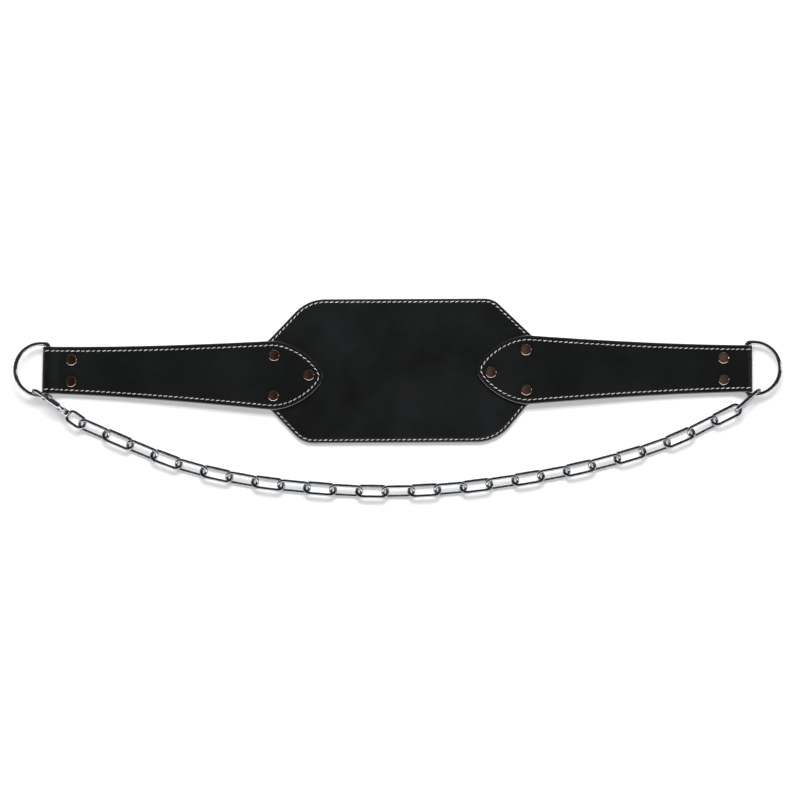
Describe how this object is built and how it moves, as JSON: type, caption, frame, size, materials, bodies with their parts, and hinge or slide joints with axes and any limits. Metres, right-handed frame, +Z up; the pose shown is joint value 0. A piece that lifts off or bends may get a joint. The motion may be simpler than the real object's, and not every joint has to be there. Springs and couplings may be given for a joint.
{
  "type": "dip belt",
  "caption": "Leather dip belt laid flat: wide back pad, tapering straps riveted to it, a D-ring at each end, and a chain with a swivel snap hook.",
  "frame": {"origin": "middle of the pad's underside, which lies on the floor", "axes": "+X along the belt towards the end link's side, +Y towards the pad's upper edge, away from the chain, +Z up through the leather"},
  "size_m": [0.8051, 0.2099, 0.0206],
  "materials": {
    "pad_leather": "satin",
    "strap_leather": "satin",
    "chrome_steel": "polished",
    "chain_steel": "polished",
    "rivet_nickel": "polished"
  },
  "bodies": {
    "belt": {"back_pad": "pad_leather", "strap_left": "strap_leather", "strap_right": "strap_leather", "d_ring_left": "chrome_steel", "d_ring_right": "chrome_steel", "hook_body": "chrome_steel", "swivel_eye": "chrome_steel", "end_link": "chain_steel", "rivet_left_1": "rivet_nickel", "rivet_left_2": "rivet_nickel", "rivet_left_3": "rivet_nickel", "rivet_left_4": "rivet_nickel", "rivet_left_5": "rivet_nickel", "rivet_right_1": "rivet_nickel", "rivet_right_2": "rivet_nickel", "rivet_right_3": "rivet_nickel", "rivet_right_4": "rivet_nickel", "rivet_right_5": "rivet_nickel", "link_01": "chain_steel", "link_02": "chain_steel", "link_03": "chain_steel", "link_04": "chain_steel", "link_05": "chain_steel", "link_06": "chain_steel", "link_07": "chain_steel", "link_08": "chain_steel", "link_09": "chain_steel", "link_10": "chain_steel", "link_11": "chain_steel", "link_12": "chain_steel", "link_13": "chain_steel", "link_14": "chain_steel", "link_15": "chain_steel", "link_16": "chain_steel", "link_17": "chain_steel", "link_18": "chain_steel", "link_19": "chain_steel", "link_20": "chain_steel", "link_21": "chain_steel", "link_22": "chain_steel", "link_23": "chain_steel", "link_24": "chain_steel", "link_25": "chain_steel", "link_26": "chain_steel"},
    "bolt": {"hook_bolt": "chrome_steel"}
  },
  "joints": [
    {"name": "hook_bolt_slide", "type": "slide", "parent": "belt", "child": "bolt", "axis": [0.8221, -0.565, -0.0698], "range_m": [0, 0.0055], "stiffness_N_per_m": 300, "springref_m": -0.004}
  ]
}
